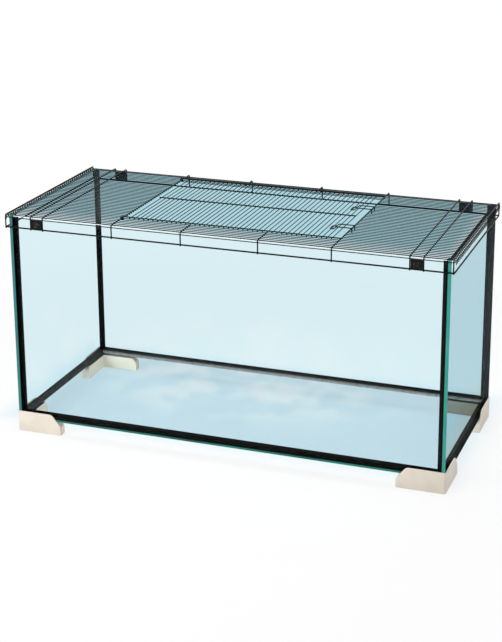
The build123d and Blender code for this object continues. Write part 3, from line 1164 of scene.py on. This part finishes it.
@dataclass
class Studio:
    """Pale floor, soft lamps, white surroundings and the camera at the photograph's angle."""

    floor_size: float = 60.0
    floor_colour: str = "#F0F0F0"
    floor_lift: float = 0.8
    shadow_reach: float = 1.6
    blue_light_colour: str = "#DAEFF7"
    blue_light_half: Point = (0.53, 0.235, 1.0)
    blue_light_centre: Point = (-0.04, 0.085, 0.0)
    blue_light_edge: float = 0.12
    world_light: float = 0.45
    lamps: tuple[tuple[str, Point, float, float], ...] = (
        ("key_lamp", (-1.5, -1.9, 1.3), 1.2, 32.0),
        ("fill_lamp", (3.0, -1.4, 2.2), 2.0, 16.0),
        ("top_lamp", (0.0, 0.6, 3.4), 2.6, 55.0),
    )
    lamp_aim: Point = (0.0, 0.0, 0.25)
    camera_place: Point = (1.1682, -3.1961, 1.4937)
    camera_turn: float = 20.22
    camera_tilt: float = 16.60
    camera_roll: float = -0.355
    focal_px: float = 1585.2
    frame_px: tuple[int, int] = (502, 642)
    sensor_mm: float = 36.0
    axis_row_px: float = 225.0

    def seen_directly(self, tree: NodeTree) -> NodeSocket:
        """Tell the rays that show a surface to the camera, straight or through glass or gloss.

        Args:
            tree: Tree that gets the nodes.

        Returns:
            One for such a ray and zero for any other.
        """
        path = add_node(tree, "ShaderNodeLightPath")
        seen = path.outputs["Is Camera Ray"]
        for ray in ("Is Glossy Ray", "Is Transmission Ray"):
            seen = add_node(tree, "ShaderNodeMath", {0: seen, 1: path.outputs[ray]},
                            operation="MAXIMUM").outputs[0]
        return seen

    def floor(self) -> None:
        """Make the floor, which keeps the cage's shadow and fades to white away from it.

        Below the cage a pool of faint blue light is painted into the floor's white, as the tinted
        floor pane would let down.
        """
        half = self.floor_size / 2
        data = bpy.data.meshes.new("studio_floor")
        data.from_pydata([(-half, -half, 0), (half, -half, 0), (half, half, 0), (-half, half, 0)],
                         [], [(0, 1, 2, 3)])
        material, tree, place = new_material("matt_floor_paint")
        away = add_node(tree, "ShaderNodeVectorMath", {0: place}, operation="LENGTH")
        lift = add_node(tree, "ShaderNodeMapRange", {
            "Value": away.outputs["Value"], "From Min": self.shadow_reach / 2,
            "From Max": self.shadow_reach, "To Min": self.floor_lift},
            interpolation_type="SMOOTHSTEP")
        share = add_node(tree, "ShaderNodeMath", {
            0: self.seen_directly(tree), 1: lift.outputs["Result"]}, operation="MULTIPLY")
        matt = add_node(tree, "ShaderNodeBsdfDiffuse", {"Color": linear(self.floor_colour)})
        # Painted light: the floor's white turns faint blue under the cage.
        offset = add_node(tree, "ShaderNodeVectorMath", {0: place, 1: self.blue_light_centre},
                          operation="SUBTRACT")
        under = add_node(tree, "ShaderNodeMapRange", {
            "Value": depth_inside(tree, offset.outputs[0], self.blue_light_half),
            "From Min": -self.blue_light_edge / 2, "From Max": self.blue_light_edge / 2},
            interpolation_type="SMOOTHSTEP")
        colour = add_node(tree, "ShaderNodeMix", {
            SHARE: under.outputs["Result"], FIRST: WHITE, SECOND: linear(self.blue_light_colour)},
            data_type="RGBA")
        white = add_node(tree, "ShaderNodeEmission", {"Color": colour.outputs[MIXED]})
        both = add_node(tree, "ShaderNodeMixShader", {
            "Fac": share.outputs[0], 1: matt.outputs[0], 2: white.outputs[0]})
        add_node(tree, "ShaderNodeOutputMaterial", {"Surface": both.outputs[0]})
        data.materials.append(material)
        link_mesh(data)

    def world(self) -> None:
        """Make the world white where it is seen, and softer as light."""
        world = bpy.data.worlds.new("studio_white")
        bpy.context.scene.world = world
        world.use_nodes = True
        tree = world.node_tree
        tree.nodes.clear()
        light = add_node(tree, "ShaderNodeBackground", {
            "Color": WHITE, "Strength": self.world_light})
        white = add_node(tree, "ShaderNodeBackground", {"Color": WHITE})
        both = add_node(tree, "ShaderNodeMixShader", {
            "Fac": self.seen_directly(tree), 1: light.outputs[0], 2: white.outputs[0]})
        add_node(tree, "ShaderNodeOutputWorld", {"Surface": both.outputs[0]})

    def lamp(self, name: str, place: Point, size: float, watts: float) -> None:
        """Hang a square soft lamp and turn it to the cage.

        Args:
            name: Name of the lamp.
            place: Where it hangs.
            size: Side of its square.
            watts: Its power.
        """
        data = bpy.data.lights.new(name, "AREA")
        data.size, data.energy = size, watts
        made = bpy.data.objects.new(name, data)
        made.location = place
        aim = Vector(self.lamp_aim) - Vector(place)
        made.rotation_euler = aim.to_track_quat("-Z", "Y").to_euler()
        bpy.context.scene.collection.objects.link(made)

    def camera(self) -> None:
        """Set the camera that the photograph's lines lead back to."""
        data = bpy.data.cameras.new("photo_camera")
        data.sensor_width = self.sensor_mm
        long_side = max(self.frame_px)
        data.lens = self.focal_px / long_side * self.sensor_mm
        data.shift_y = (self.axis_row_px - self.frame_px[1] / 2) / long_side
        made = bpy.data.objects.new("photo_camera", data)
        bpy.context.scene.collection.objects.link(made)
        turn = (Matrix.Rotation(math.radians(self.camera_turn), 4, "Z")
                @ Matrix.Rotation(math.radians(90 - self.camera_tilt), 4, "X")
                @ Matrix.Rotation(math.radians(self.camera_roll), 4, "Z"))
        made.matrix_world = Matrix.Translation(self.camera_place) @ turn
        bpy.context.scene.camera = made

    def build(self) -> None:
        """Set up the whole studio."""
        bpy.context.scene.view_settings.view_transform = "Standard"
        self.floor()
        self.world()
        for lamp in self.lamps:
            self.lamp(*lamp)
        self.camera()


def main() -> None:
    """Build the studio and every sub-assembly in order."""
    logging.basicConfig(level=logging.INFO, format="%(name)s: %(message)s")
    Studio().build()
    shop = WireShop()
    rubber = Silicone("black_silicone", "#040605", "#0D100F").build()
    for part in (GlassTank(rubber), Seals(rubber), Feet(), WireLid(shop), SideClips(),
                 WireDoor(shop), WireLatches(shop)):
        part.build()
        log.info("%s done", type(part).__name__)


if __name__ == "__main__":
    main()
